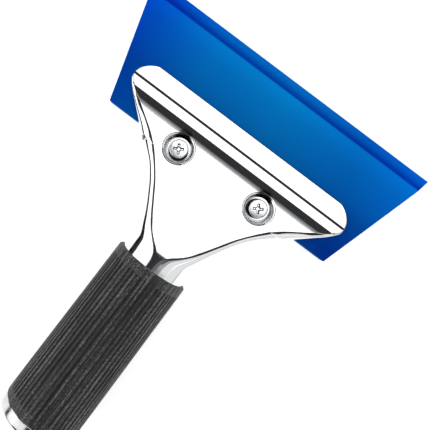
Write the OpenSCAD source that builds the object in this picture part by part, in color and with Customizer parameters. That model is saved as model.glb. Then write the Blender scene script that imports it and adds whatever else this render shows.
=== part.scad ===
/* [Blade] */
// Length of the blade's working edge
edge_w = 127; // [124:1:127]
// Length of the blade's back edge, inside the jaw
back_w = 99; // [97:1:101]
// Blade thickness
blade_t = 6; // [5:0.1:6]
// Width of the bevel along the working edge, on both faces
bevel_w = 5.7; // [3:0.1:8]
// Thickness left at the very edge of the bevel
edge_t = 1.6; // [0.8:0.1:3]
// Radius of the notches that clear the clamp screws
notch_r = 2.3; // [2.2:0.05:2.8]

/* [Pressed shells] */
// Thickness of the steel sheet
sheet_t = 1; // [0.9:0.05:1]
// Outside radius of the neck and handle tube
tube_r = 13.3; // [13.25:0.05:13.3]
// Distance of each clamp screw from the middle
screw_x = 18; // [17:0.5:18]
// Radius of the round pockets that hold the screw heads and nuts
pocket_r = 5.4; // [5.2:0.1:5.4]

/* [Grip] */
// Outside radius of the rubber grip near the neck
grip_r_top = 14.85; // [14.6:0.05:15]
// Outside radius of the rubber grip near the open end
grip_r_end = 15.4; // [15.2:0.05:15.4]
// Number of ribs round the grip
rib_n = 52; // [36:4:60]
// Depth of the grooves between the ribs
rib_depth = 0.45; // [0.3:0.05:0.6]

/* [Fasteners] */
// Radius of the screw heads
head_r = 3.5; // [3.2:0.1:3.8]
// Height of the screw heads
head_h = 2.4; // [2:0.1:2.6]
// Radius of the screw shanks
shank_r = 1.96; // [1.9:0.02:1.96]
// Outside radius of the flat washers
washer_r = 4.5; // [4.2:0.1:4.8]
// Flange radius of the clinch nuts
nut_r = 3.6; // [3.4:0.1:4]

/* [Hidden] */
$fn = 64;

// The frame: X runs along the blade, Y from the open end of the handle to
// the working edge, Z out of the face that carries the screw heads. The
// origin is the middle of the whole tool.
y_edge = 80;          // working edge
y_back = 32.5;        // back edge of the blade
y_end = -80;          // open end of the handle
y_grip0 = -75.3;      // grip, open end
y_grip1 = -6.9;       // grip, neck end
y_slot = 29.4;        // end of the slot between the shells
screw_y = 33.3;
floor_z = 4.3;        // outer face of the pocket floors
washer_h = 0.8;
lip_z = 3.05;         // inner face of the jaw lips

// ---- pressed shell, as cross-sections along Y -------------------------
// Height of the outer face: neck, flat triangular face, steep slope, step
// strip, then the low lip that grips the blade.
TOP = [[-6, 13.3], [-1, 13.3], [37.4, 8.39], [38, 8.2], [38.6, 7.8],
       [42, 5.15], [42.4, 4.92], [43, 4.85], [45.9, 4.85], [46.8, 4.05],
       [53, 4.05], [53.5, 3.75]];
// Vertical thickness of the sheet, more where it runs steeply.
THICK = [[37.2, 1], [38.6, 1.24], [42, 1.24], [43, 1], [53, 1], [53.5, 0.7]];
// Half-width of the outline.
WIDE = [[-6, 13.3], [-1.25, 13.35], [3.25, 14], [7.75, 15.2], [11.5, 17],
        [15.6, 19.3], [19.75, 21.9], [22, 23.6], [24.25, 25.9],
        [26.5, 29.2], [29.1, 32.9], [32.6, 36.1], [40.9, 45.8],
        [43.4, 47.5], [45.4, 47.9], [46.6, 47.75], [48, 47.2],
        [49.7, 46.2], [51.2, 45.1], [52.5, 43.6], [53.2, 42.4],
        [53.5, 40.9]];
// Half-width of the flat on top.
FLAT = [[-1, 0.3], [0.1, 3], [2.5, 6.6], [5, 8.6], [7.4, 10.3],
        [12.7, 13.9], [18.4, 17.5], [23.3, 21.2], [27.6, 24.8],
        [31.2, 28.4], [33.4, 32], [35.9, 35.6], [38.1, 38.5],
        [42.6, 44.9], [43.4, 46.4], [45.4, 46.9], [46.6, 46.75],
        [48, 46.2], [49.7, 45.2], [51.2, 44.1], [52.5, 42.6],
        [53.2, 41.4], [53.5, 40.4]];
// Run of the rounded shoulder beyond the flat.
ROUND = [[-1, 13], [0.1, 10.2], [2.5, 6.4], [5, 4], [7.4, 2.6],
         [12.7, 1.4], [18.4, 1.1], [20, 1], [53.2, 1], [53.5, 0.5]];
// Share of the side wall that belongs to the rounded shoulder.
WALL = [[-1, 1], [0.1, 0.8], [2.5, 0.5], [5, 0.35], [7.4, 0.22],
        [12.7, 0.13], [18.4, 0.11], [40, 0.12], [46, 0.5], [53.5, 0.5]];
// How far the sheet's inner edge stays behind its outer edge.
HEM = [[-1.25, 1], [3, 1.05], [30, 1.05], [42.6, 0.6], [46.6, 0.02],
       [53.5, 0.02]];
ROWS = [-6, -3.5, -1, 0.1, 1.3, 2.5, 5, 7.4, 11.5, 15.6, 19.75, 22,
        24.25, 26.5, 29.3, 29.5, 32.6, 35.9, 37.4, 38.6, 40.9, 42.4,
        43.4, 45.8, 46.8, 48, 49.7, 51.2, 52.5, 53.2, 53.5];
ARC = 8;              // segments of the rounded shoulder

function conic(a, c, b, t) =
    let (w = 0.7071, u = 1 - t, q = u * u + 2 * w * u * t + t * t)
    (u * u * a + 2 * w * u * t * c + t * t * b) / q;

// Right half of one section: middle, shoulder points, wall, edge.
function half_line(a, c, e, share) =
    let (f = c + share * (e - c), near = share > 0.97)
    concat([[0, a[1]]],
           [for (i = [0 : ARC]) conic(a, c, f, i / ARC)],
           near ? [] : [(f + e) / 2],
           near ? [] : [e]);
// Sections need the same number of points everywhere, so a fully round
// section takes its last points from the arc itself.
function half_arc(a, c, e) =
    concat([[0, a[1]]], [for (i = [0 : ARC + 2]) conic(a, c, e, i / (ARC + 2))]);
function half_section(a, c, e, share) =
    share > 0.97 ? half_arc(a, c, e) : half_line(a, c, e, share);

function outer_half(y) =
    let (z = lookup(y, TOP), fl = lookup(y, FLAT), w = lookup(y, WIDE),
         cx = min(fl + lookup(y, ROUND), w + 0.001),
         ez = y < y_slot ? 0 : 3.3)
    half_section([fl, z], [cx, z], [w, ez], lookup(y, WALL));
function inner_half(y) =
    let (z = lookup(y, TOP) - sheet_t * lookup(y, THICK), d = lookup(y, ROUND),
         w = lookup(y, WIDE), s = lookup(y, WALL), hem = lookup(y, HEM),
         low = z <= lip_z + 0.01,
         cx = min(lookup(y, FLAT) + d - sheet_t, w - hem - (low ? 0.6 : 0.1)),
         fl = max(0.2, cx - max(0.35, d - sheet_t)),
         ez = y < y_slot ? 0 : lip_z,
         si = s > 0.97 ? 1 : max(0.04, s - 0.07 * (1 - s)))
    half_section([fl, max(z, lip_z)], [cx, max(z, lip_z)], [w - hem, ez], si);

function both_sides(h) = concat([for (i = [len(h) - 1 : -1 : 1]) [-h[i][0], h[i][1]]], h);

module head() {
    outer = [for (y = ROWS) both_sides(outer_half(y))];
    inner = [for (y = ROWS) both_sides(inner_half(y))];
    n = len(outer[0]);
    m = 2 * n;
    // each section is one closed loop: outer left to right, inner back
    pts = [for (i = [0 : len(ROWS) - 1])
               for (j = [0 : m - 1])
                   let (p = j < n ? outer[i][j] : inner[i][m - 1 - j])
                   [p[0], ROWS[i], p[1]]];
    last = (len(ROWS) - 1) * m;
    sides = [for (i = [0 : len(ROWS) - 2])
                 for (j = [0 : m - 1])
                     let (a = i * m + j, b = i * m + (j + 1) % m)
                     each [[a, b + m, b], [a, a + m, b + m]]];
    caps = [for (j = [0 : n - 2])
                let (a = j, b = j + 1, c = m - 2 - j, d = m - 1 - j)
                each [[a, c, d], [a, b, c],
                      [last + a, last + c, last + b], [last + a, last + d, last + c]]];
    polyhedron(points = pts, faces = concat(sides, caps), convexity = 10);
}

// The space under the outer face, used to trim the pocket walls to it.
module under_face() {
    rotate([90, 0, 90])
        linear_extrude(height = 60, center = true)
            polygon(concat([[20, 0]],
                           [for (y = [20, 37.4, 38, 38.6, 42, 42.4, 43])
                               [y, lookup(y, TOP) - 0.03]],
                           [[43, 0]]));
}

module pocket_wall(x) {
    difference() {
        intersection() {
            translate([x, screw_y, 3.3]) cylinder(r = pocket_r + 0.95, h = 12);
            under_face();
        }
        translate([x, screw_y, floor_z]) cylinder(r = pocket_r, h = 12);
    }
}

module half_tube() {
    intersection() {
        translate([0, -5, 0]) rotate([90, 0, 0])
            difference() {
                cylinder(r = tube_r, h = 74);
                translate([0, 0, -1]) cylinder(r = 12.3, h = 76);
            }
        translate([-20, -90, 0]) cube([40, 100, 20]);
    }
}

module shell(hole_r) {
    difference() {
        union() {
            difference() {
                union() { head(); half_tube(); }
                for (s = [-1, 1])
                    translate([s * screw_x, screw_y, 1]) cylinder(r = pocket_r + 0.8, h = 15);
            }
            for (s = [-1, 1]) pocket_wall(s * screw_x);
        }
        for (s = [-1, 1])
            translate([s * screw_x, screw_y, 0]) cylinder(r = hole_r, h = 8);
    }
}

module front_shell() { color("gainsboro") shell(2.25); }

module rear_shell() { color("silver") mirror([0, 0, 1]) shell(2.72); }

// Polyurethane blade: a tapered slab with a bevelled working edge and two
// notches in its back edge for the clamp screws.
module blade() {
    color("royalblue")
    difference() {
        intersection() {
            translate([0, 0, -blade_t / 2]) linear_extrude(height = blade_t)
                polygon([[-back_w / 2, y_back], [back_w / 2, y_back],
                         [edge_w / 2, y_edge], [-edge_w / 2, y_edge]]);
            rotate([90, 0, 90]) linear_extrude(height = 140, center = true)
                polygon([[y_back, 0.4 - blade_t / 2], [y_back + 0.8, -blade_t / 2],
                         [y_edge - bevel_w, -blade_t / 2], [y_edge, -edge_t / 2],
                         [y_edge, edge_t / 2], [y_edge - bevel_w, blade_t / 2],
                         [y_back + 0.8, blade_t / 2], [y_back, blade_t / 2 - 0.4]]);
        }
        for (s = [-1, 1]) {
            translate([s * screw_x, screw_y, -5]) cylinder(r = notch_r, h = 10);
            translate([s * screw_x - notch_r, screw_y - 5, -5]) cube([2 * notch_r, 5, 10]);
        }
    }
}

// Ribbed rubber sleeve, slightly fatter towards the open end, with a
// smooth band at each end.
function rib_ring(r) =
    [for (i = [0 : rib_n - 1]) for (k = [0 : 3])
        let (a = (i + [0.06, 0.42, 0.58, 0.94][k]) * 360 / rib_n,
             q = k == 0 || k == 1 ? r : r - rib_depth)
        [q * cos(a), q * sin(a)]];

module grip_sleeve() {
    band = 3.4;
    len_all = y_grip1 - y_grip0;
    k = (grip_r_end - grip_r_top) / len_all;
    r0 = grip_r_top + k * band;
    color("#2f2f31")
    translate([0, y_grip1, 0]) rotate([90, 0, 0])
    difference() {
        union() {
            translate([0, 0, band - 0.2])
                linear_extrude(height = len_all - 2 * band + 0.4,
                               scale = (grip_r_end - k * band) / r0)
                    polygon(rib_ring(r0));
            rotate_extrude($fn = 96)
                polygon([[10, 0], [grip_r_top - 0.5, 0], [grip_r_top, 0.5],
                         [grip_r_top + k * band, band], [10, band]]);
            rotate_extrude($fn = 96)
                polygon([[10, len_all - band], [grip_r_end - k * band, len_all - band],
                         [grip_r_end, len_all - 0.5], [grip_r_end - 0.5, len_all],
                         [10, len_all]]);
        }
        translate([0, 0, -1]) cylinder(r = tube_r + 0.02, h = len_all + 2);
    }
}

// Turned collar that holds the ends of the two half tubes together.
module end_ferrule() {
    color("gainsboro")
    translate([0, y_grip0, 0]) rotate([90, 0, 0])
        rotate_extrude($fn = 96)
            polygon(concat([[tube_r + 0.02, 0], [15.1, 0]],
                           [for (a = [0 : 15 : 90])
                               [13.6 + 1.5 * cos(a), 3.2 + 1.5 * sin(a)]],
                           [[12.3, 4.7], [12.3, 3.7], [tube_r + 0.02, 3.7]]));
}

module screw(x) {
    z0 = floor_z + washer_h;
    color("whitesmoke")
    translate([x, screw_y, z0])
    difference() {
        union() {
            rotate_extrude()
                polygon(concat([[0, 0], [head_r - 0.3, 0], [head_r, 0.3]],
                               [for (a = [0 : 15 : 90])
                                   [head_r - 1.3 + 1.3 * cos(a), head_h - 1.3 + 1.3 * sin(a)]],
                               [[0, head_h]]));
            translate([0, 0, -12]) cylinder(r = shank_r, h = 12.1);
        }
        for (a = [45, 135]) rotate([0, 0, a])
            translate([-2, -0.4, head_h - 1.3]) cube([4, 0.8, 2]);
    }
}
module screw_left() { screw(-screw_x); }
module screw_right() { screw(screw_x); }

module washer(x) {
    color("silver")
    translate([x, screw_y, floor_z])
        difference() {
            cylinder(r = washer_r, h = washer_h);
            translate([0, 0, -1]) cylinder(r = 2.15, h = washer_h + 2);
        }
}
module washer_left() { washer(-screw_x); }
module washer_right() { washer(screw_x); }

// Clinch nut: the pilot is pressed into the rear shell's pocket floor and
// the flange stands in the pocket.
module clinch_nut(x) {
    color("darkgray")
    translate([x, screw_y, 0])
        difference() {
            union() {
                translate([0, 0, -6.8]) rotate_extrude()
                    polygon([[0, 0], [nut_r - 0.4, 0], [nut_r, 0.4], [nut_r, 2.5], [0, 2.5]]);
                translate([0, 0, -4.4]) cylinder(r = 2.7, h = 1);
            }
            translate([0, 0, -8]) cylinder(r = 2.02, h = 8);
        }
}
module clinch_nut_left() { clinch_nut(-screw_x); }
module clinch_nut_right() { clinch_nut(screw_x); }

front_shell();
rear_shell();
blade();
grip_sleeve();
end_ferrule();
screw_left();
screw_right();
washer_left();
washer_right();
clinch_nut_left();
clinch_nut_right();
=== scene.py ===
import math

import bpy
import bmesh
import numpy as np
from mathutils import Matrix, Vector


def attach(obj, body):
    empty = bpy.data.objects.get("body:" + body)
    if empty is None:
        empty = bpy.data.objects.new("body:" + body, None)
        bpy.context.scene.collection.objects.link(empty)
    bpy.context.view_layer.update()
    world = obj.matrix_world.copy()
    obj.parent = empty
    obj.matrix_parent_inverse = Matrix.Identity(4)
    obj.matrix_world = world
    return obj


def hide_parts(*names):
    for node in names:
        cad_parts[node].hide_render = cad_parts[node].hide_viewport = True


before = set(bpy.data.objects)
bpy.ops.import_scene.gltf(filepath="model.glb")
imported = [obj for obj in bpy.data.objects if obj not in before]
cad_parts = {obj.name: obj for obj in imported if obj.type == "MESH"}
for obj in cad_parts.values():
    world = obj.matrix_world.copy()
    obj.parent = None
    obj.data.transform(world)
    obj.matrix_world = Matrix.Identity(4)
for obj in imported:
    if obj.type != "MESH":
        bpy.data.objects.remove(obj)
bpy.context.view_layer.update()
MM = 0.001

# --------------------------------------------------------------------------
# Camera: straight down on the face, close, turned in its own plane.
# --------------------------------------------------------------------------
cam_data = bpy.data.cameras.new("cam")
cam = bpy.data.objects.new("cam", cam_data)
bpy.context.scene.collection.objects.link(cam)
cam_data.sensor_width = 36.0
cam_data.lens = 36.0 / (2 * (215.0 / 520.0))
cam_data.clip_start = 0.005
cam_data.dof.use_dof = False
cam_data.shift_x = 0.066
cam_data.shift_y = -0.050
cam.location = (-6.0 * MM, 22.2 * MM, 195.0 * MM)
cam.rotation_euler = (0, 0, math.radians(37.05))
bpy.context.scene.camera = cam


# --------------------------------------------------------------------------
# Small mesh helpers. Everything is computed in millimetres.
# --------------------------------------------------------------------------
def pchip(table):
    """Monotone cubic through given points."""
    x = np.array([p[0] for p in table], float)
    y = np.array([p[1] for p in table], float)
    h = np.diff(x)
    d = np.diff(y) / h
    m = np.zeros(len(x))
    for i in range(1, len(x) - 1):
        if d[i - 1] * d[i] > 0:
            w1, w2 = 2 * h[i] + h[i - 1], h[i] + 2 * h[i - 1]
            m[i] = (w1 + w2) / (w1 / d[i - 1] + w2 / d[i])
    m[0], m[-1] = d[0], d[-1]

    def f(q):
        q = np.clip(np.asarray(q, float), x[0], x[-1])
        i = np.clip(np.searchsorted(x, q) - 1, 0, len(x) - 2)
        t = (q - x[i]) / h[i]
        return (y[i] * (1 + 2 * t) * (1 - t) ** 2 + m[i] * h[i] * t * (1 - t) ** 2
                + y[i + 1] * t * t * (3 - 2 * t) + m[i + 1] * h[i] * t * t * (t - 1))
    return f


def smoothed(table, sigma, keep_from=None, lo=-12.0, hi=56.0):
    """The same curve with its small waves averaged out; past keep_from it is left as drawn."""
    f = pchip(table)
    step = 0.05
    g = np.arange(lo - 10, hi + 10, step)
    v = f(g)
    n = int(4 * sigma / step)
    k = np.exp(-0.5 * (np.arange(-n, n + 1) * step / sigma) ** 2)
    k /= k.sum()
    s = np.convolve(np.pad(v, n, mode="edge"), k, mode="valid")
    if keep_from is not None:
        w = np.clip((g - keep_from) / 3.0, 0, 1)
        w = w * w * (3 - 2 * w)
        s = s * (1 - w) + v * w
    return lambda q: np.interp(q, g, s)


def rounded_profile(points, radii, step=0.02):
    """Polyline with quadratic blends at its corners, as a height function."""
    xs, zs = [points[0][0]], [points[0][1]]
    for i in range(1, len(points) - 1):
        p, q, r = (np.array(points[j], float) for j in (i - 1, i, i + 1))
        c = radii[i]
        a = q + (p - q) / np.linalg.norm(p - q) * c
        b = q + (r - q) / np.linalg.norm(r - q) * c
        for t in np.linspace(0, 1, 13):
            v = (1 - t) ** 2 * a + 2 * t * (1 - t) * q + t * t * b
            xs.append(v[0]); zs.append(v[1])
    xs.append(points[-1][0]); zs.append(points[-1][1])
    xs, zs = np.array(xs), np.array(zs)
    return lambda q: np.interp(q, xs, zs)


def conic(a, c, b, t, w=0.70710678):
    a, c, b = (np.asarray(v, float) for v in (a, c, b))
    u = 1 - t
    q = u * u + 2 * w * u * t + t * t
    return (u * u * a + 2 * w * u * t * c + t * t * b) / q


def build(name, verts, faces, smooth=True, weighted=True):
    me = bpy.data.meshes.new(name)
    me.from_pydata([tuple(v) for v in np.asarray(verts, float) * MM], [], faces)
    me.validate(clean_customdata=False)
    bm = bmesh.new()
    bm.from_mesh(me)
    bmesh.ops.remove_doubles(bm, verts=bm.verts, dist=1e-7)
    bmesh.ops.dissolve_degenerate(bm, edges=bm.edges, dist=1e-8)
    bmesh.ops.recalc_face_normals(bm, faces=bm.faces)
    if bm.calc_volume(signed=True) < 0:
        bmesh.ops.reverse_faces(bm, faces=bm.faces)
    bm.to_mesh(me)
    bm.free()
    ob = bpy.data.objects.new(name, me)
    bpy.context.scene.collection.objects.link(ob)
    if smooth:
        me.polygons.foreach_set("use_smooth", [True] * len(me.polygons))
    if weighted:
        area_normals(me)
    return ob


def area_normals(me, sharp=None):
    """Vertex normals that lean to the larger faces, so flats stay flat beside small fillets."""
    n = np.zeros((len(me.vertices), 3))
    nor = np.zeros(len(me.polygons) * 3)
    area = np.zeros(len(me.polygons))
    me.polygons.foreach_get("normal", nor)
    me.polygons.foreach_get("area", area)
    nor = nor.reshape(-1, 3) * area[:, None]
    tot = np.zeros(len(me.polygons), int)
    me.polygons.foreach_get("loop_total", tot)
    vi = np.zeros(len(me.loops), int)
    me.loops.foreach_get("vertex_index", vi)
    np.add.at(n, vi, np.repeat(nor, tot, axis=0))
    n /= np.maximum(np.linalg.norm(n, axis=1), 1e-20)[:, None]
    me.normals_split_custom_set_from_vertices([tuple(v) for v in n])


def lathe(name, profile, axis="Z", origin=(0, 0, 0), segs=96, wobble=None, closed=True):
    """Revolves a closed (r, h) loop. wobble(theta, r, h, k) may change r."""
    prof = np.array(profile, float)
    k = len(prof)
    verts, faces = [], []
    for i in range(segs):
        th = 2 * math.pi * i / segs
        for j, (r, h) in enumerate(prof):
            rr = wobble(th, r, h, j) if wobble else r
            x, y = rr * math.cos(th), rr * math.sin(th)
            p = (x, y, h) if axis == "Z" else (x, h, -y)
            verts.append((p[0] + origin[0], p[1] + origin[1], p[2] + origin[2]))
    for i in range(segs):
        a, b = i * k, ((i + 1) % segs) * k
        for j in range(k if closed else k - 1):
            j2 = (j + 1) % k
            faces.append((a + j, b + j, b + j2, a + j2))
    return build(name, verts, faces)


def round_loop(points, radii, n=4):
    """Closed (r, h) loop with its corners rounded."""
    out = []
    m = len(points)
    for i in range(m):
        p, q, r = (np.array(points[j % m], float) for j in (i - 1, i, i + 1))
        c = radii[i]
        if c <= 0:
            out.append(tuple(q))
            continue
        lp, lr = np.linalg.norm(p - q), np.linalg.norm(r - q)
        c = min(c, 0.49 * lp, 0.49 * lr)
        a, b = q + (p - q) / lp * c, q + (r - q) / lr * c
        for t in np.linspace(0, 1, n + 1):
            out.append(tuple(conic(a, q, b, t)))
    return out


def with_supports(loop, dist=0.12, long=1.0):
    """Adds a point close to both ends of each long side."""
    out = []
    m = len(loop)
    for i in range(m):
        p, q = np.array(loop[i], float), np.array(loop[(i + 1) % m], float)
        out.append(tuple(p))
        d = np.linalg.norm(q - p)
        if d > long:
            out.append(tuple(p + (q - p) / d * dist))
            out.append(tuple(q - (q - p) / d * dist))
    return out


# --------------------------------------------------------------------------
# Pressed shell. Sections across the tool, swept along Y.
# --------------------------------------------------------------------------
TUBE_R, SHEET = 13.3, 1.0
SCREW_X, SCREW_Y, FLOOR_Z = 18.0, 33.3, 4.3
LIP = 3.05

top = rounded_profile(
    [(-90, 13.3), (-1, 13.3), (38.4, 8.25), (42.7, 4.85), (45.75, 4.85), (46.9, 4.05), (60, 4.05)],
    [0, 2.5, 2.9, 0.4, 0.16, 0.16, 0])
under = rounded_profile(
    [(-90, 12.3), (-1, 12.3), (37.9, 7.25), (42.1, 3.85), (45.6, 3.85), (46.6, 3.05), (60, 3.05)],
    [0, 2.5, 2.4, 0.3, 0.15, 0.2, 0])

wide = smoothed(
    [(-90, 13.3), (-7, 13.3), (-1.25, 13.42), (3.25, 14.05), (7.75, 15.2), (11.5, 17.0),
     (15.6, 19.3), (19.75, 21.9), (22, 23.6), (24.25, 25.9), (26.5, 29.2), (29.1, 32.9),
     (32.6, 36.1), (40.9, 45.9), (43.0, 47.45), (44.6, 48.1), (46.2, 48.3), (47.8, 48.1),
     (49.4, 47.35), (50.8, 46.2), (52.0, 44.8), (52.8, 43.35), (53.25, 42.2), (53.5, 41.2)],
    0.9, keep_from=41.0)
flat = smoothed(
    [(-90, 0.3), (-5, 0.3), (-3, 0.6), (-1.4, 1.2), (0, 2.4), (1.4, 4.0), (2.9, 5.7), (5, 7.7), (7.4, 9.5), (12.7, 12.9),
     (18.4, 16.5), (23.3, 20.2), (27.6, 23.8), (31.2, 27.5), (33.4, 30.6), (35.9, 34.6),
     (38.1, 38.0), (42.6, 45.0), (44.2, 47.0), (45.4, 47.6), (46.2, 47.75), (47.8, 47.55),
     (49.4, 46.8), (50.8, 45.65), (52.0, 44.25), (52.8, 42.85), (53.25, 41.65), (53.5, 40.65)],
    0.7, keep_from=42.0)
shoulder = smoothed(
    [(-90, 13.0), (-5, 13.0), (-3, 12.8), (-1.4, 12.3), (0, 11.2), (1.4, 9.8), (2.9, 8.3), (5, 6.7), (7.4, 5.5),
     (12.7, 4.5), (18.4, 4.3), (22, 4.4), (27.6, 5.5), (32, 5.5), (38, 3.6), (42.6, 1.5), (44.2, 0.9),
     (45.4, 0.5), (60, 0.5)],
    0.8, keep_from=42.0)
share = smoothed(
    [(-90, 1.0), (-6, 1.0), (-4, 0.985), (-2, 0.95), (0, 0.88), (2, 0.78), (4, 0.67), (6, 0.57), (8, 0.5),
     (12.7, 0.42), (18.4, 0.40), (22, 0.41), (27.6, 0.48), (32, 0.48), (38, 0.4), (44.5, 0.4), (46, 0.6), (60, 0.6)],
    1.2, keep_from=42.0)
hem = pchip([(-90, 1.0), (-1.25, 1.0), (3, 1.04), (30, 1.04), (40, 0.75), (45.4, 0.1), (60, 0.02)])
EDGE_R = 0.4


def edge_height(y):
    """Height of the sheet's lower edge: on the joint plane, then above the blade in the slot."""
    if y < 29.0:
        return 0.0
    if y < 30.4:
        return LIP * math.sqrt(max(0.0, 1 - ((30.4 - y) / 1.4) ** 2))
    return LIP


def front_round(y):
    """How far the top falls away at the lip's rounded front edge."""
    d = y - (53.5 - EDGE_R)
    return 0.0 if d <= 0 else EDGE_R - math.sqrt(max(0.0, EDGE_R ** 2 - d * d))


S0, S1 = 0.26, 0.94
FACE = np.array(list(np.linspace(0, S0, 5)) + list(np.linspace(S0, S1, 23))[1:] + [0.965, 0.985, 1.0])
C0, C1 = 4, 26               # face columns where the pocket patch starts and ends
NB, NW = 18, 7               # shoulder and wall segments


def half_points(y, inner):
    """(x, z) points of one half section, middle to edge, and its two edge corners."""
    w = float(wide(y))
    ez = edge_height(y)
    fr = front_round(y)
    h = float(hem(y))
    zt = float(top(y)) - fr
    ft = float(flat(y))
    sh = float(shoulder(y))
    s = float(share(y))
    cx = min(ft + sh, w - 0.0005)
    ft = min(ft, cx - 0.05)
    k1, k2 = np.array([w, ez]), np.array([w - h, ez])
    if not inner:
        a, c, e = (ft, zt), np.array([cx, zt]), k1
    else:
        zi = max(float(under(y)), LIP if y > 30 else 0)
        zi = min(zi, zt - 0.3)
        ci = min(cx - SHEET, w - h - 0.12)
        d = max(0.35, sh - SHEET)
        ai = max(0.2, ci - d)
        a, c, e = (ai, zi), np.array([ci, zi]), k2
        s = 1.0 if s > 0.995 else max(0.05, s - 0.06 * (1 - s))
    # the wall runs from the shoulder's end to a rounded corner at the edge
    L = np.linalg.norm(e - c)
    r = min(0.25, 0.3 * L)
    end = e + (c - e) / L * r
    f = c + s * (end - c)
    pts = [np.array([a[0] * q, a[1]]) for q in FACE]
    line = [conic(a, c, f, t) for t in np.linspace(0, 1, 61)]
    if np.linalg.norm(end - f) > 1e-3:
        line += [f + (end - f) * t for t in np.linspace(0, 1, 21)[1:]]
    line = np.array(line)
    seg = np.diff(line, axis=0)
    ln = np.linalg.norm(seg, axis=1) + 1e-9
    ang = np.unwrap(np.arctan2(seg[:, 1], seg[:, 0]))
    turn = np.abs(np.diff(ang, prepend=ang[0]))
    weight = ln / ln.sum() + 1.4 * turn / max(turn.sum(), 1e-6)
    cum = np.concatenate([[0], np.cumsum(weight)])
    want = np.linspace(0, cum[-1], NB + NW + 1)[1:]
    pts += [np.array([np.interp(q, cum, line[:, 0]), np.interp(q, cum, line[:, 1])]) for q in want]
    return pts, k1, k2, end


def rim_points(out_end, k1, k2, in_end):
    L = max(np.linalg.norm(k2 - k1), 1e-6)
    r = min(0.25, L / 2 * 0.98)
    p1, p2 = k1 + (k2 - k1) / L * r, k2 - (k2 - k1) / L * r
    pts = [conic(out_end, k1, p1, t) for t in (0.33, 0.67, 1.0)]
    pts += [conic(p2, k2, in_end, t) for t in (0, 0.33, 0.67)]
    return pts


def rows():
    y = list(np.arange(-79, -9.9, 6.9)) + list(np.arange(-9, -6, 1.0)) + list(np.arange(-6, 9, 0.4))
    y += list(np.arange(9, 25.6, 0.55)) + list(np.arange(25.9, 29.0, 0.5))
    y += [29.0 + 1.4 * (1 - math.cos(a)) for a in np.linspace(0, math.pi / 2, 9)]
    y += list(np.arange(30.8, 37.0, 0.5)) + list(np.arange(37.1, 39.2, 0.12))
    y += list(np.arange(39.4, 40.7, 0.3)) + list(np.arange(40.8, 41.7, 0.3))
    y += list(np.arange(41.8, 43.4, 0.12)) + list(np.arange(43.6, 45.4, 0.3))
    y += list(np.arange(45.5, 47.4, 0.08)) + list(np.arange(47.5, 52.4, 0.3))
    y += list(np.arange(52.5, 53.05, 0.15))
    y += [53.5 - EDGE_R + EDGE_R * math.sin(a) for a in np.linspace(0, math.pi / 2, 7)]
    y = sorted(set(round(float(v), 4) for v in y))
    out = [y[0]]
    for v in y[1:]:
        if v - out[-1] > 0.012:
            out.append(v)
    return out


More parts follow.
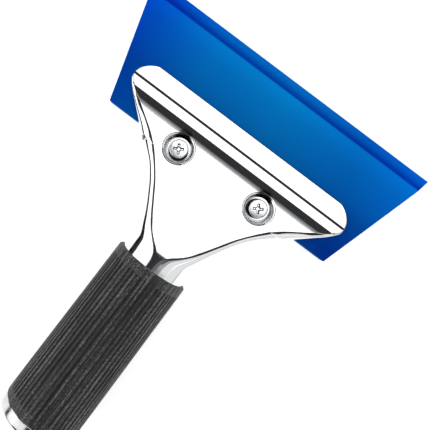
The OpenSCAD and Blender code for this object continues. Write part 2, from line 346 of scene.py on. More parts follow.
def shell(name, hole_r, sign):
    ys = rows()
    loops = []
    for y in ys:
        po, k1, k2, eo = half_points(y, False)
        pi, _, _, ei = half_points(y, True)
        right = po + rim_points(eo, k1, k2, ei) + pi[::-1]
        left = [np.array([-p[0], p[1]]) for p in right[1:-1][::-1]]
        loops.append(right + left)
    n_half = len(po)
    n_rim = 6
    L = 2 * n_half + n_rim
    m = 2 * L - 2
    verts = [(p[0], y, p[1]) for y, lp in zip(ys, loops) for p in lp]
    faces = []
    ia = min(range(len(ys)), key=lambda i: abs(ys[i] - 25.9))
    ib = min(range(len(ys)), key=lambda i: abs(ys[i] - 40.8))

    def idx(i, j):
        return i * m + j % m

    # loop positions of outer and inner face columns, right and left
    def col(c, inner, left):
        j = (L - 1 - c) if inner else c
        return (m - j) % m if left else j

    skip = set()
    for inner in (False, True):
        for left in (False, True):
            for c in range(C0, C1):
                j0, j1 = col(c, inner, left), col(c + 1, inner, left)
                j = min(j0, j1) if abs(j0 - j1) == 1 else max(j0, j1)
                skip.add(j)
    for i in range(len(ys) - 1):
        for j in range(m):
            if ia <= i < ib and j in skip:
                continue
            faces.append((idx(i, j), idx(i, j + 1), idx(i + 1, j + 1), idx(i + 1, j)))
    # end caps
    for i in (0, len(ys) - 1):
        for left in (False, True):
            for c in range(n_half - 1):
                q = [idx(i, col(c, False, left)), idx(i, col(c + 1, False, left)),
                     idx(i, col(c + 1, True, left)), idx(i, col(c, True, left))]
                faces.append(tuple(q))
            rim = [n_half - 1 + k for k in range(n_rim + 2)]
            if left:
                rim = [(m - j) % m for j in rim]
            faces.append(tuple(idx(i, j) for j in rim))
    # pockets
    for left in (False, True):
        sx = -1 if left else 1
        edge_rings = {}
        for inner in (False, True):
            ring = [(ia, c) for c in range(C0, C1)] + [(i, C1) for i in range(ia, ib)]
            ring += [(ib, c) for c in range(C1, C0, -1)] + [(i, C0) for i in range(ib, ia, -1)]
            base = [idx(i, col(c, inner, left)) for i, c in ring]
            n = len(base)
            bx = np.array([verts[b][0] for b in base])
            by = np.array([verts[b][1] for b in base])
            th = np.arctan2(by - SCREW_Y, bx - sx * SCREW_X)
            ux, uy = np.cos(th), np.sin(th)
            height = under if inner else top

            def at(r):
                x, y = sx * SCREW_X + r * ux, SCREW_Y + r * uy
                return np.stack([x, y, height(y)], 1)
            if inner:
                r0, r1, r2, drop, fz, r3, fil = 6.85, 6.35, 6.28, 0.5, 3.3, 6.2, 0.8
            else:
                r0, r1, r2, drop, fz, r3, fil = 6.3, 5.6, 5.2, 1.0, FLOOR_Z, 5.0, 0.45
            start = at(r0)
            outer = np.stack([bx, by, height(by)], 1)
            rings = []
            for t in np.linspace(0, 1, 15)[1:]:
                p = outer[:, :2] * (1 - t) + start[:, :2] * t
                rings.append(np.column_stack([p, height(p[:, 1])]))
            ctrl = at(r1)
            end = at(r2)
            end[:, 2] = ctrl[:, 2] - drop
            for t in np.linspace(0, 1, 9)[1:]:
                rings.append(conic(start, ctrl, end, t))
            foot = np.stack([sx * SCREW_X + r3 * ux, SCREW_Y + r3 * uy, np.full(n, fz)], 1)
            tofoot = (end - foot)
            tofoot /= np.linalg.norm(tofoot, axis=1)[:, None]
            wall_end = foot + tofoot * min(fil, 0.6)
            floor_in = np.stack([sx * SCREW_X + (r3 - fil) * ux, SCREW_Y + (r3 - fil) * uy, np.full(n, fz)], 1)
            for t in (0.12, 0.5, 0.88, 1.0):
                rings.append(end * (1 - t) + wall_end * t)
            for t in np.linspace(0, 1, 6)[1:]:
                rings.append(conic(wall_end, foot, floor_in, t))
            for r in np.linspace(r3 - fil, hole_r, 6)[1:]:
                rings.append(np.stack([sx * SCREW_X + r * ux, SCREW_Y + r * uy, np.full(n, fz)], 1))
            prev = base
            for rg in rings:
                s0 = len(verts)
                verts.extend(tuple(p) for p in rg)
                cur = list(range(s0, s0 + n))
                for k in range(n):
                    k2 = (k + 1) % n
                    faces.append((prev[k], prev[k2], cur[k2], cur[k]))
                prev = cur
            edge_rings[inner] = prev
        a, b = edge_rings[False], edge_rings[True]
        n = len(a)
        for k in range(n):
            k2 = (k + 1) % n
            faces.append((a[k], a[k2], b[k2], b[k]))
    v = np.array(verts)
    v[:, 2] *= sign
    return build(name, v, faces)


front = shell("front_shell_sheet", 2.25, 1)
rear = shell("rear_shell_sheet", 2.72, -1)

# --------------------------------------------------------------------------
# Blade: slab with a bevelled edge and two screw notches, edges eased.
# --------------------------------------------------------------------------
EDGE_W, BACK_W, BLADE_T = 127.0, 99.0, 6.0
Y_BACK, Y_EDGE, BEVEL, EDGE_T = 32.5, 80.0, 5.7, 1.6


def blade_outline():
    pts = [(-BACK_W / 2, Y_BACK)]
    for sx in (-1, 1):
        r = 2.3
        c = sx * SCREW_X
        pts.append((c - r, Y_BACK))
        for a in np.linspace(180, 0, 17):
            pts.append((c + r * math.cos(math.radians(a)), SCREW_Y + r * math.sin(math.radians(a))))
        pts.append((c + r, Y_BACK))
    pts += [(BACK_W / 2, Y_BACK), (EDGE_W / 2, Y_EDGE), (-EDGE_W / 2, Y_EDGE)]
    return pts


def make_blade():
    bm = bmesh.new()
    ring = [bm.verts.new((x * MM, y * MM, -BLADE_T / 2 * MM)) for x, y in blade_outline()]
    f = bm.faces.new(ring)
    ext = bmesh.ops.extrude_face_region(bm, geom=[f])
    for g in ext["geom"]:
        if isinstance(g, bmesh.types.BMVert):
            g.co.z = BLADE_T / 2 * MM
    geom = bm.verts[:] + bm.edges[:] + bm.faces[:]
    bmesh.ops.bisect_plane(bm, geom=geom, plane_co=(0, (Y_EDGE - BEVEL) * MM, 0), plane_no=(0, 1, 0))
    for v in bm.verts:
        if v.co.y > (Y_EDGE - 0.01) * MM:
            v.co.z = math.copysign(EDGE_T / 2 * MM, v.co.z)
    bmesh.ops.recalc_face_normals(bm, faces=bm.faces)
    sharp = []
    for e in bm.edges:
        if len(e.link_faces) == 2:
            a = e.calc_face_angle(0.0)
            mid = (e.verts[0].co + e.verts[1].co) / 2
            if a > math.radians(30) and mid.y > (Y_BACK - 0.05) * MM and not (
                    abs(abs(mid.x) - SCREW_X * MM) < 2.6 * MM and mid.y > (Y_BACK + 0.05) * MM and mid.y < 36.5 * MM and abs(mid.z) < 2.9 * MM):
                sharp.append(e)
    bmesh.ops.bevel(bm, geom=sharp, offset=0.28 * MM, offset_type="OFFSET", segments=4, profile=0.5,
                    affect="EDGES", clamp_overlap=True)
    crease = [e for e in bm.edges if len(e.link_faces) == 2
              and math.radians(12) < e.calc_face_angle(0.0) < math.radians(30)
              and abs((e.verts[0].co.y + e.verts[1].co.y) / 2 - (Y_EDGE - BEVEL) * MM) < 0.4 * MM
              and e.calc_length() > 40 * MM]
    bmesh.ops.bevel(bm, geom=crease, offset=0.22 * MM, offset_type="OFFSET", segments=3, profile=0.5,
                    affect="EDGES", clamp_overlap=True)
    bmesh.ops.recalc_face_normals(bm, faces=bm.faces)
    # cut the long faces so that shading has points to hold on to
    for x in np.arange(-60, 61, 5.0):
        geom = bm.verts[:] + bm.edges[:] + bm.faces[:]
        bmesh.ops.bisect_plane(bm, geom=geom, plane_co=(x * MM + 1e-5, 0, 0), plane_no=(1, 0, 0))
    for y in (40, 47, 54, 61, 68):
        geom = bm.verts[:] + bm.edges[:] + bm.faces[:]
        bmesh.ops.bisect_plane(bm, geom=geom, plane_co=(0, y * MM, 0), plane_no=(0, 1, 0))
    bmesh.ops.triangulate(bm, faces=[f for f in bm.faces if len(f.verts) > 4])
    bmesh.ops.remove_doubles(bm, verts=bm.verts, dist=1e-7)
    me = bpy.data.meshes.new("blade_slab")
    bm.to_mesh(me)
    bm.free()
    ob = bpy.data.objects.new("blade_slab", me)
    bpy.context.scene.collection.objects.link(ob)
    me.polygons.foreach_set("use_smooth", [True] * len(me.polygons))
    area_normals(me)
    return ob


blade = make_blade()

# --------------------------------------------------------------------------
# Grip: ribbed rubber sleeve with smooth bands and soft rims.
# --------------------------------------------------------------------------
Y_G0, Y_G1 = -75.3, -6.9
R_TOP, R_END, R_IN = 14.85, 15.395, 13.32
RIBS, GROOVE = 52, 0.5


def grip_radius(y):
    return R_TOP + (R_END - R_TOP) * (Y_G1 - y) / (Y_G1 - Y_G0)


def rib_share(y):
    """0 on the smooth bands, 1 where the grooves run, with soft ends."""
    a = np.clip((Y_G1 - 3.2 - y) / 0.9, 0, 1)
    b = np.clip((y - Y_G0 - 3.2) / 0.9, 0, 1)
    s = a * b
    return s * s * (3 - 2 * s)


def make_grip():
    per = 14
    segs = RIBS * per
    # one rib: rounded crown, narrower rounded groove
    ph = np.arange(per) / per
    d = np.abs(((ph + 0.5) % 1.0) - 0.5) * 2      # 0 at the crown, 1 in the groove
    prof = np.clip((d - 0.46) / 0.30, 0, 1)
    prof = prof * prof * (3 - 2 * prof) + 0.10 * d * d
    prof /= prof.max()
    outer = []                                     # (y, radius, groove share)
    rim = 0.55
    for a in np.linspace(0, math.pi / 2, 6):
        outer.append((Y_G1 - rim + rim * math.cos(a), grip_radius(Y_G1) - rim + rim * math.sin(a), 0))
    ys = [Y_G1 - 1.0, Y_G1 - 2.0, Y_G1 - 2.9] + list(Y_G1 - 3.2 - np.linspace(0, 0.9, 7))
    ys += list(np.linspace(Y_G1 - 5.5, Y_G0 + 5.5, 26))
    ys += list(Y_G0 + 3.2 + np.linspace(0.9, 0, 7)) + [Y_G0 + 2.9, Y_G0 + 2.0, Y_G0 + 1.0]
    for y in ys:
        outer.append((y, grip_radius(y), float(rib_share(y))))
    rim = 0.45
    for a in np.linspace(math.pi / 2, 0, 6):
        outer.append((Y_G0 + rim - rim * math.cos(a), R_END - rim + rim * math.sin(a), 0))
    inner = [(Y_G0, R_IN + 0.12, 0), (Y_G0 + 0.12, R_IN, 0), (Y_G0 + 6, R_IN, 0), (Y_G1 - 6, R_IN, 0),
             (Y_G1 - 0.2, R_IN, 0), (Y_G1, R_IN + 0.2, 0)]
    loop = outer + inner
    k = len(loop)
    th = 2 * math.pi * np.arange(segs) / segs
    g = np.tile(prof, RIBS)
    R = np.array([[r - GROOVE * s * gg for (_, r, s) in loop] for gg in g])
    Y = np.array([[y for (y, _, _) in loop]] * segs)
    V = np.stack([R * np.cos(th)[:, None], Y, R * np.sin(th)[:, None]], 2).reshape(-1, 3)
    faces = []
    for i in range(segs):
        a, b = i * k, ((i + 1) % segs) * k
        for j in range(k):
            j2 = (j + 1) % k
            faces.append((a + j, b + j, b + j2, a + j2))
    return build("grip_rubber", V, faces)


grip = make_grip()

# --------------------------------------------------------------------------
# End collar.
# --------------------------------------------------------------------------
collar = lathe("end_collar", with_supports(round_loop(
    [(13.32, -75.3), (15.1, -75.3), (15.1, -80.0), (12.3, -80.0), (12.3, -79.0), (13.32, -79.0)],
    [0.1, 0.35, 1.5, 0.25, 0.05, 0.05], n=7)), axis="Y", segs=144)


# --------------------------------------------------------------------------
# Fasteners.
# --------------------------------------------------------------------------
def screw(name, cx, turn):
    """Pan head with a cross recess, and a threaded shank, as one closed mesh of rings."""
    segs = 96
    zb = FLOOR_Z + 0.8                      # underside of the head
    hr, hh = 3.5, 2.4
    rings = []                              # lists of (x, y, z)
    th = 2 * math.pi * np.arange(segs) / segs

    def dome(r):
        # crown, then a rounded shoulder down to the side
        flat_r = hr - 0.5
        base = hh - 0.10 * (r / hr) ** 2
        q = np.clip((r - flat_r) / (hr - flat_r), 0, 1)
        return base - 0.5 * (1 - np.sqrt(np.clip(1 - q * q, 0, 1)))

    def recess(x, y):
        # four tapering wings and a deeper middle
        a = math.radians(turn)
        u = x * math.cos(a) + y * math.sin(a)
        v = -x * math.sin(a) + y * math.cos(a)
        r = np.hypot(x, y)
        wing = 0.0
        for p, q in ((np.abs(u), np.abs(v)), (np.abs(v), np.abs(u))):
            half = 0.42 - 0.05 * p
            side = np.clip((half + 0.09 - q) / 0.16, 0, 1)
            tip = np.clip((1.98 - p) / 0.30, 0, 1)
            w = side * side * (3 - 2 * side) * tip * tip * (3 - 2 * tip)
            wing = np.maximum(wing, w)
        mid = np.clip((1.0 - r) / 0.35, 0, 1)
        return wing * 1.25 + mid * mid * (3 - 2 * mid) * 0.35
    radii = list(np.linspace(0.05, 2.1, 34)) + [2.3, 2.5, 2.7, 2.9] + list(hr - 0.5 + 0.5 * np.sin(np.linspace(0.05, math.pi / 2, 10)))
    for r in radii:
        x, y = r * np.cos(th), r * np.sin(th)
        z = dome(np.full(segs, r)) - (recess(x, y) if r < 2.2 else 0)
        rings.append((x, y, z))
    for z in (0.9, 0.3):
        rings.append((hr * np.cos(th), hr * np.sin(th), np.full(segs, z)))
    for r, z in ((hr - 0.08, 0.08), (hr - 0.3, 0.0), (2.3, 0.0), (2.02, -0.06), (1.94, -0.25)):
        rings.append((r * np.cos(th), r * np.sin(th), np.full(segs, z)))
    # thread: crest 1.94, root 1.6, 0.7 mm pitch, fading in under the head and out at the tip
    zs = np.arange(-0.6, -11.55, -0.7 / 7)
    for z in zs:
        ph = (z / 0.7 - th / (2 * math.pi)) % 1.0
        tri = np.abs(ph * 2 - 1)
        tri = np.clip(tri * 1.25 - 0.12, 0, 1)
        fade = np.clip((-z - 0.5) / 1.0, 0, 1) * np.clip((z + 11.7) / 0.4, 0, 1)
        r = 1.94 - 0.32 * (1 - tri) * fade
        rings.append((r * np.cos(th), r * np.sin(th), np.full(segs, z)))
    for r, z in ((1.75, -11.8), (1.45, -12.0), (0.6, -12.0), (0.05, -12.0)):
        rings.append((r * np.cos(th), r * np.sin(th), np.full(segs, z)))
    V, F = [], []
    for x, y, z in rings:
        V.extend(zip(x + cx, y + SCREW_Y, z + zb))
    for i in range(len(rings) - 1):
        for k in range(segs):
            k2 = (k + 1) % segs
            F.append((i * segs + k, i * segs + k2, (i + 1) * segs + k2, (i + 1) * segs + k))
    F.append(tuple(range(segs)))
    F.append(tuple((len(rings) - 1) * segs + k for k in range(segs))[::-1])
    return build(name, V, F)


def washer(name, cx):
    z = FLOOR_Z
    loop = round_loop([(2.15, z), (4.5, z), (4.5, z + 0.8), (2.15, z + 0.8)], [0.08, 0.12, 0.22, 0.1], n=5)
    return lathe(name, with_supports(loop), origin=(cx, SCREW_Y, 0), segs=96)


def nut(name, cx):
    loop = round_loop([(2.02, -3.35), (2.7, -3.35), (2.7, -4.3), (3.6, -4.3), (3.6, -6.8), (2.3, -6.8), (2.02, -6.55)],
                      [0.05, 0.05, 0.05, 0.15, 0.4, 0.05, 0.05], n=4)
    return lathe(name, with_supports(loop), origin=(cx, SCREW_Y, 0), segs=96)


screws = {"left": screw("screw_left_pan_head", -SCREW_X, 30.0),
          "right": screw("screw_right_pan_head", SCREW_X, 30.0)}
washers = {s: washer(f"washer_{s}_flat", x) for s, x in (("left", -SCREW_X), ("right", SCREW_X))}
nuts = {s: nut(f"clinch_nut_{s}_turned", x) for s, x in (("left", -SCREW_X), ("right", SCREW_X))}


# --------------------------------------------------------------------------
# Materials.
# --------------------------------------------------------------------------
class Mat:
    def __init__(self, name):
        self.m = bpy.data.materials.new(name)
        self.m.use_nodes = True
        self.t = self.m.node_tree
        self.t.nodes.clear()
        self.out = self.t.nodes.new("ShaderNodeOutputMaterial")
        self.p = self.t.nodes.new("ShaderNodeBsdfPrincipled")
        self.t.links.new(self.p.outputs[0], self.out.inputs[0])
        self.co = self.t.nodes.new("ShaderNodeTexCoord").outputs["Object"]

    def node(self, kind, **props):
        n = self.t.nodes.new(kind)
        for k, v in props.items():
            setattr(n, k, v)
        return n

    def link(self, a, b):
        self.t.links.new(a, b)

    def noise(self, scale, stretch=(1, 1, 1), detail=3.0, rough=0.5):
        mp = self.node("ShaderNodeMapping")
        mp.inputs["Scale"].default_value = stretch
        self.link(self.co, mp.inputs["Vector"])
        n = self.node("ShaderNodeTexNoise")
        n.inputs["Scale"].default_value = scale
        n.inputs["Detail"].default_value = detail
        n.inputs["Roughness"].default_value = rough
        self.link(mp.outputs[0], n.inputs["Vector"])
        return n.outputs["Fac"]

    def ramp(self, fac, stops):
        r = self.node("ShaderNodeValToRGB")
        e = r.color_ramp.elements
        stops = sorted(stops, key=lambda st: st[0])
        for el, (pos, c) in ((e[0], stops[0]), (e[-1], stops[-1])):
            el.position = pos
            el.color = (*c, 1)
        for pos, c in stops[1:-1]:
            e.new(pos).color = (*c, 1)
        self.link(fac, r.inputs["Fac"])
        return r.outputs["Color"]

    def span(self, fac, lo, hi, a=0.0, b=1.0):
        n = self.node("ShaderNodeMapRange")
        n.inputs["From Min"].default_value = a
        n.inputs["From Max"].default_value = b
        n.inputs["To Min"].default_value = lo
        n.inputs["To Max"].default_value = hi
        self.link(fac, n.inputs["Value"])
        return n.outputs["Result"]

    def bump(self, height, strength, distance, chain=None):
        b = self.node("ShaderNodeBump")
        b.inputs["Strength"].default_value = strength
        b.inputs["Distance"].default_value = distance
        self.link(height, b.inputs["Height"])
        if chain is not None:
            self.link(chain, b.inputs["Normal"])
        return b.outputs["Normal"]


def steel():
    m = Mat("polished_steel")
    p = m.p
    p.inputs["Metallic"].default_value = 1.0
    cloud = m.noise(55.0, detail=4.0)
    clean = m.ramp(cloud, [(0.3, (0.80, 0.81, 0.825)), (0.7, (0.87, 0.875, 0.885))])
    # painted shade beside the screw pockets and at one corner of the slot (x, y, radius, how dark)
    warp = m.noise(600.0, detail=4.0)
    painted_shade = None
    for sx, sy, sr, dark in ((-18.8, 37.6, 3.9, 0.05), (17.2, 37.6, 3.9, 0.05), (-30.9, 28.9, 1.2, 0.05)):
        off = m.node("ShaderNodeVectorMath", operation="MULTIPLY_ADD")
        m.link(m.co, off.inputs[0])
        off.inputs[1].default_value = (1, 1, 0)
        off.inputs[2].default_value = (-sx * MM, -sy * MM, 0)
        far = m.node("ShaderNodeVectorMath", operation="LENGTH")
        m.link(off.outputs[0], far.inputs[0])
        edge = m.node("ShaderNodeMath", operation="MULTIPLY_ADD")
        m.link(warp, edge.inputs[0])
        edge.inputs[1].default_value = sr * 0.5 * MM
        m.link(far.outputs["Value"], edge.inputs[2])
        shade = m.span(edge.outputs[0], dark, 1.0, sr * 0.85 * MM, sr * 1.2 * MM)
        if painted_shade is None:
            painted_shade = shade
        else:
            both = m.node("ShaderNodeMath", operation="MULTIPLY")
            m.link(painted_shade, both.inputs[0])
            m.link(shade, both.inputs[1])
            painted_shade = both.outputs[0]
    mix = m.node("ShaderNodeMix", data_type="RGBA", blend_type="MULTIPLY")
    mix.inputs["Factor"].default_value = 1.0
    m.link(clean, mix.inputs["A"])
    m.link(painted_shade, mix.inputs["B"])
    m.link(mix.outputs["Result"], p.inputs["Base Color"])
    lines = m.noise(220.0, stretch=(0.25, 9.0, 1.0), detail=5.0, rough=0.65)
    m.link(m.span(lines, 0.05, 0.11, 0.3, 0.7), p.inputs["Roughness"])
    m.link(m.bump(lines, 0.012, 0.00004), p.inputs["Normal"])
    return m.m


def collar_steel():
    """The polished sheet again, a little duller where a hand rubs it."""
    m = Mat("polished_steel_collar")
    p = m.p
    p.inputs["Metallic"].default_value = 1.0
    cloud = m.noise(160.0, detail=4.0)
    m.link(m.ramp(cloud, [(0.3, (0.48, 0.48, 0.49)), (0.7, (0.66, 0.66, 0.67))]), p.inputs["Base Color"])
    lines = m.noise(300.0, stretch=(1.0, 6.0, 1.0), detail=5.0, rough=0.65)
    m.link(m.span(lines, 0.12, 0.22, 0.3, 0.7), p.inputs["Roughness"])
    m.link(m.bump(lines, 0.02, 0.00004), p.inputs["Normal"])
    return m.m


def plated():
    m = Mat("plated_steel")
    p = m.p
    p.inputs["Metallic"].default_value = 1.0
    cloud = m.noise(420.0, detail=4.0)
    m.link(m.ramp(cloud, [(0.3, (0.70, 0.71, 0.73)), (0.7, (0.80, 0.81, 0.83))]), p.inputs["Base Color"])
    fine = m.noise(2600.0, detail=3.0)
    m.link(m.span(fine, 0.12, 0.24, 0.3, 0.7), p.inputs["Roughness"])
    m.link(m.bump(fine, 0.08, 0.00003), p.inputs["Normal"])
    return m.m


def screw_plating_painted_shade():
    """The plating again, with painted shade on the upright sides and down in the recess."""
    m = Mat("plated_steel_screw_painted_shade")
    p = m.p
    p.inputs["Metallic"].default_value = 1.0
    up = m.node("ShaderNodeSeparateXYZ")
    m.link(m.node("ShaderNodeNewGeometry").outputs["Normal"], up.inputs[0])
    cloud = m.noise(700.0, detail=4.0)
    wave = m.node("ShaderNodeMath", operation="MULTIPLY_ADD")
    m.link(cloud, wave.inputs[0])
    wave.inputs[1].default_value = 0.12
    m.link(up.outputs["Z"], wave.inputs[2])
    # painted shade: dark where the surface turns upright, light where it faces up
    m.link(m.ramp(wave.outputs[0], [(0.0, (0.010, 0.010, 0.011)), (0.35, (0.02, 0.02, 0.021)), (0.6, (0.35, 0.35, 0.36)),
                                    (0.85, (0.80, 0.81, 0.82)), (1.0, (0.86, 0.87, 0.88))]), p.inputs["Base Color"])
    fine = m.noise(2600.0, detail=3.0)
    m.link(m.span(fine, 0.14, 0.24, 0.3, 0.7), p.inputs["Roughness"])
    m.link(m.bump(fine, 0.04, 0.00002), p.inputs["Normal"])
    return m.m


def washer_plating_painted_shadow(name, cx, cy):
    """The plating with a painted shadow under one side of the screw head, round (cx, cy)."""
    m = Mat(name)
    p = m.p
    p.inputs["Metallic"].default_value = 1.0
    away = m.node("ShaderNodeVectorMath", operation="MULTIPLY_ADD")
    m.link(m.co, away.inputs[0])
    away.inputs[1].default_value = (1, 1, 0)
    away.inputs[2].default_value = (-cx * MM, -cy * MM, 0)
    far = m.node("ShaderNodeVectorMath", operation="LENGTH")
    m.link(away.outputs[0], far.inputs[0])
    wave = m.node("ShaderNodeMath", operation="MULTIPLY_ADD")
    m.link(m.noise(900.0, detail=3.0), wave.inputs[0])
    wave.inputs[1].default_value = 0.0003
    m.link(far.outputs["Value"], wave.inputs[2])
    # painted shadow: dark inside a circle round (cx, cy), showing as a crescent beside the head
    m.link(m.ramp(m.span(wave.outputs[0], 0, 1, 0.0032, 0.0042),
                  [(0.0, (0.008, 0.008, 0.009)), (0.45, (0.02, 0.02, 0.021)), (0.7, (0.55, 0.56, 0.57)),
                   (1.0, (0.80, 0.81, 0.83))]), p.inputs["Base Color"])
    fine = m.noise(2600.0, detail=3.0)
    m.link(m.span(fine, 0.12, 0.24, 0.3, 0.7), p.inputs["Roughness"])
    m.link(m.bump(fine, 0.06, 0.00003), p.inputs["Normal"])
    return m.m


def urethane():
    """Clear blue cast, with painted light: brighter across the middle and darker toward one end; darkest where the
    bevel starts, brighter at its edge; painted shade in one back corner.
    """
    m = Mat("blue_urethane")
    p = m.p
    xyz = m.node("ShaderNodeSeparateXYZ")
    m.link(m.co, xyz.inputs[0])
    cloud = m.noise(14.0, detail=3.0)
    wave = m.node("ShaderNodeMath", operation="MULTIPLY_ADD")
    m.link(cloud, wave.inputs[0])
    wave.inputs[1].default_value = 0.016
    m.link(xyz.outputs["X"], wave.inputs[2])
    # painted light: a sheen across the middle, falling off toward the -X end
    along = m.ramp(m.span(wave.outputs[0], 0, 1, -0.062, 0.074),
                   [(0.0, (0.0, 0.050, 0.59)), (0.12, (0.0, 0.074, 0.56)), (0.30, (0.0, 0.151, 0.545)),
                    (0.55, (0.0, 0.170, 0.545)), (0.8, (0.0, 0.127, 0.52)), (1.0, (0.0, 0.140, 0.66))])
    edge = m.ramp(m.span(xyz.outputs["Y"], 0, 1, 0.050, 0.080),
                  [(0.0, (1, 0.70, 0.74)), (0.3, (1, 0.97, 0.96)), (0.6, (1, 1.24, 1.14)), (0.79, (1, 1.6, 1.4)),
                   (0.812, (1, 1.5, 1.38)), (0.826, (0.4, 0.39, 0.80)), (0.85, (0.4, 0.36, 0.86)),
                   (0.9, (0.5, 0.78, 1.1)), (0.95, (0.6, 1.1, 1.3)), (1.0, (0.6, 1.1, 1.3))])
    mix = m.node("ShaderNodeMix", data_type="RGBA", blend_type="MULTIPLY")
    mix.inputs["Factor"].default_value = 1.0
    m.link(along, mix.inputs["A"])
    m.link(edge, mix.inputs["B"])
    # painted shade at the +X back corner, beside the shell's jaw
    corner = m.node("ShaderNodeMath", operation="MULTIPLY")
    m.link(m.span(xyz.outputs["X"], 0, 1, 0.030, 0.047), corner.inputs[0])
    m.link(m.span(xyz.outputs["Y"], 1, 0, 0.036, 0.056), corner.inputs[1])
    corner_shade = m.node("ShaderNodeMix", data_type="RGBA", blend_type="MIX")
    m.link(m.span(corner.outputs[0], 0, 0.85), corner_shade.inputs["Factor"])
    m.link(mix.outputs["Result"], corner_shade.inputs["A"])
    corner_shade.inputs["B"].default_value = (0.0, 0.026, 0.30, 1)
    m.link(corner_shade.outputs["Result"], p.inputs["Base Color"])
    fine = m.noise(900.0, detail=3.0)
    m.link(m.span(fine, 0.30, 0.40, 0.3, 0.7), p.inputs["Roughness"])
    m.link(m.bump(fine, 0.05, 0.00003), p.inputs["Normal"])
    p.inputs["Specular IOR Level"].default_value = 0.012
    return m.m


def rubber():
    """Matt black rubber with a salt-and-pepper grain and slightly rubbed, paler streaks along the ribs, plus painted
    highlight and shade on the ribs.
    """
    m = Mat("black_rubber")
    p = m.p
    grain = m.noise(1800.0, detail=2.0, rough=0.6)
    streak = m.noise(260.0, stretch=(3.2, 0.10, 3.2), detail=3.0, rough=0.6)
    both = m.node("ShaderNodeMath", operation="MULTIPLY_ADD")
    m.link(grain, both.inputs[0])
    both.inputs[1].default_value = 0.9
    m.link(streak, both.inputs[2])
    base = m.ramp(m.span(both.outputs[0], 0, 1, 0.74, 1.18),
                  [(0.0, (0.004, 0.004, 0.004)), (0.35, (0.017, 0.017, 0.017)), (0.6, (0.042, 0.042, 0.042)),
                   (1.0, (0.16, 0.16, 0.159))])
    # depth below the crowns of the ribs, from the distance to the handle's axis
    flat_xyz = m.node("ShaderNodeVectorMath", operation="MULTIPLY")
    m.link(m.co, flat_xyz.inputs[0])
    flat_xyz.inputs[1].default_value = (1, 0, 1)
    dist = m.node("ShaderNodeVectorMath", operation="LENGTH")
    m.link(flat_xyz.outputs[0], dist.inputs[0])
    xyz = m.node("ShaderNodeSeparateXYZ")
    m.link(m.co, xyz.inputs[0])
    depth = m.node("ShaderNodeMath", operation="SUBTRACT")
    m.link(m.span(xyz.outputs["Y"], R_END * MM, grip_radius(Y_G1) * MM, Y_G0 * MM, Y_G1 * MM), depth.inputs[0])
    m.link(dist.outputs["Value"], depth.inputs[1])
    # painted highlight just below the rib crowns and painted shade down in the grooves, more of it toward the sides
    rib_highlight_and_shade = m.ramp(m.span(depth.outputs[0], 0, 1, 0.0, GROOVE * MM),
                  [(0.0, (1.0, 1.0, 1.0)), (0.05, (1.5, 1.5, 1.5)), (0.12, (2.3, 2.3, 2.3)), (0.3, (0.7, 0.7, 0.7)),
                   (0.6, (0.25, 0.25, 0.25)), (1.0, (0.12, 0.12, 0.12))])
    mix = m.node("ShaderNodeMix", data_type="RGBA", blend_type="MULTIPLY")
    side = m.node("ShaderNodeMath", operation="ABSOLUTE")
    m.link(xyz.outputs["X"], side.inputs[0])
    m.link(m.span(side.outputs[0], 0.35, 1.0, 0.003, 0.011), mix.inputs["Factor"])
    m.link(base, mix.inputs["A"])
    m.link(rib_highlight_and_shade, mix.inputs["B"])
    m.link(mix.outputs["Result"], p.inputs["Base Color"])
    m.link(m.span(grain, 0.45, 0.66, 0.3, 0.7), p.inputs["Roughness"])
    m.link(m.bump(grain, 0.45, 0.00008), p.inputs["Normal"])
    return m.m


STEEL, PLATED, SCREW, BLUE, BLACK = steel(), plated(), screw_plating_painted_shade(), urethane(), rubber()


def finish_piece(ob, body, nodes, mat):
    ob.data.materials.clear()
    ob.data.materials.append(mat)
    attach(ob, body)
    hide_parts(*nodes)


finish_piece(front, "handle", ["front_shell"], STEEL)
finish_piece(rear, "handle", ["rear_shell"], STEEL)
finish_piece(grip, "handle", ["grip_sleeve"], BLACK)
finish_piece(collar, "handle", ["end_ferrule"], collar_steel())
finish_piece(blade, "blade", ["blade"], BLUE)
for s in ("left", "right"):
    finish_piece(screws[s], f"screw_{s}", [f"screw_{s}"], SCREW)
    # each washer gets its own material, with the painted shadow centred on the given point
    finish_piece(washers[s], f"washer_{s}", [f"washer_{s}"],
                 washer_plating_painted_shadow(f"plated_steel_washer_painted_shadow_{s}", *{"left": (-17.65, 32.65), "right": (17.3, 33.0)}[s]))
    finish_piece(nuts[s], "handle", [f"clinch_nut_{s}"], PLATED)

# --------------------------------------------------------------------------
# Stage: pale floor, soft studio light.
# --------------------------------------------------------------------------
bpy.ops.mesh.primitive_plane_add(size=6.0, location=(0, 0, -15.42 * MM))
floor = bpy.context.object
floor.name = "floor"
fm = Mat("floor")
fm.link(fm.ramp(fm.noise(3.0, detail=2.0), [(0.3, (0.90, 0.90, 0.90)), (0.7, (0.92, 0.92, 0.92))]), fm.p.inputs["Base Color"])
fm.p.inputs["Roughness"].default_value = 0.9
fm.p.inputs["Emission Color"].default_value = (1, 1, 1, 1)
fm.p.inputs["Emission Strength"].default_value = 0.6
fm.p.inputs["Specular IOR Level"].default_value = 0.1
floor.data.materials.append(fm.m)

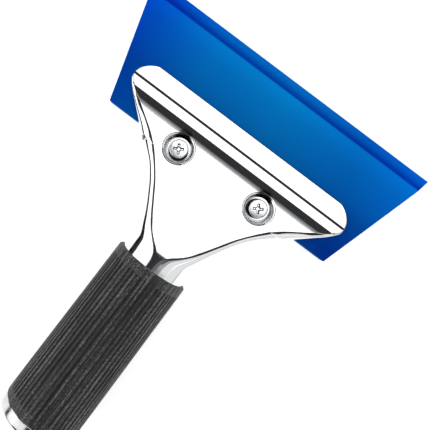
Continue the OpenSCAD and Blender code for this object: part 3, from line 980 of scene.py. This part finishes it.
scene = bpy.context.scene
scene.view_settings.view_transform = "Standard"
scene.view_settings.look = "None"
world = bpy.data.worlds.new("studio")
scene.world = world
world.use_nodes = True
wt = world.node_tree
wt.nodes.clear()
wo = wt.nodes.new("ShaderNodeOutputWorld")
bg = wt.nodes.new("ShaderNodeBackground")
bg.inputs["Color"].default_value = (0.95, 0.97, 1.0, 1)
bg.inputs["Strength"].default_value = 0.035
pale = wt.nodes.new("ShaderNodeBackground")
pale.inputs["Color"].default_value = (1, 1, 1, 1)
pale.inputs["Strength"].default_value = 0.9
which = wt.nodes.new("ShaderNodeMixShader")
wt.links.new(wt.nodes.new("ShaderNodeLightPath").outputs["Is Camera Ray"], which.inputs[0])
wt.links.new(bg.outputs[0], which.inputs[1])
wt.links.new(pale.outputs[0], which.inputs[2])
wt.links.new(which.outputs[0], wo.inputs[0])


def direction(side, lean):
    """side: degrees from straight up toward +X; lean: degrees toward +Y."""
    a, b = math.radians(side), math.radians(lean)
    return Vector((math.sin(a) * math.cos(b), math.sin(b), math.cos(a) * math.cos(b)))


def softbox(name, side, lean, radiance, dist=600.0, centre=(0, 20, 5)):
    """Area light that covers side[0]..side[1] and lean[0]..lean[1] degrees, seen from the tool."""
    sa, la = (side[0] + side[1]) / 2, (lean[0] + lean[1]) / 2
    d = direction(sa, la)
    u = Vector((math.cos(math.radians(sa)), 0, -math.sin(math.radians(sa))))
    v = u.cross(-d)
    v = v if v.y > 0 else -v
    w = 2 * dist * math.tan(math.radians(side[1] - side[0]) / 2)
    h = 2 * dist * math.tan(math.radians(lean[1] - lean[0]) / 2)
    li = bpy.data.lights.new(name, "AREA")
    li.shape = "RECTANGLE"
    li.size, li.size_y = w * MM, h * MM
    li.energy = radiance * math.pi * w * h * MM * MM
    ob = bpy.data.objects.new(name, li)
    scene.collection.objects.link(ob)
    z = d
    x = v.cross(z).normalized()
    ob.matrix_world = Matrix(((x.x, v.x, z.x, 0), (x.y, v.y, z.y, 0), (x.z, v.z, z.z, 0), (0, 0, 0, 1)))
    ob.location = Vector(centre) * MM + d * dist * MM
    ob.visible_camera = False
    return ob


softbox("over_box", (-18.5, 24), (4, 50), 1.7)
softbox("over_low", (-9, 13), (0.5, 4), 1.7)
softbox("slope_box_upper", (-60, 60), (51, 59), 0.55)
softbox("slope_box_lower", (-60, 60), (59, 69), 0.2)
softbox("left_box", (-76, -50), (-58, 46), 1.6)
softbox("left_low", (-50, -15), (-45, -9.5), 1.5)
softbox("right_box", (53, 88), (-58, 46), 0.85)
softbox("right_low", (28, 53), (-45, -11), 0.85)
softbox("grey_gap_near", (3, 12), (-50, -6), 0.12)
softbox("grey_gap_far", (12, 28), (-50, -11), 0.4)


def flag(name, x, y0, y1, z0, z1, shade=0.012, glow=0.0):
    """Upright card beside the tool, there to draw a line in the chrome."""
    me = bpy.data.meshes.new(name)
    me.from_pydata([(x * MM, y0 * MM, z0 * MM), (x * MM, y1 * MM, z0 * MM),
                    (x * MM, y1 * MM, z1 * MM), (x * MM, y0 * MM, z1 * MM)], [], [(0, 1, 2, 3)])
    ob = bpy.data.objects.new(name, me)
    scene.collection.objects.link(ob)
    m = Mat(name)
    m.link(m.ramp(m.noise(20.0), [(0.3, (shade * 0.9,) * 3), (0.7, (shade * 1.1,) * 3)]), m.p.inputs["Base Color"])
    m.p.inputs["Emission Color"].default_value = (1, 1, 1, 1)
    m.p.inputs["Emission Strength"].default_value = glow
    m.p.inputs["Roughness"].default_value = 1.0
    m.p.inputs["Specular IOR Level"].default_value = 0.0
    me.materials.append(m.m)
    ob.visible_camera = False
    ob.visible_diffuse = False
    ob.visible_shadow = False
    return ob


flag("flag_left", -125, -100, 190, -15.3, 12)
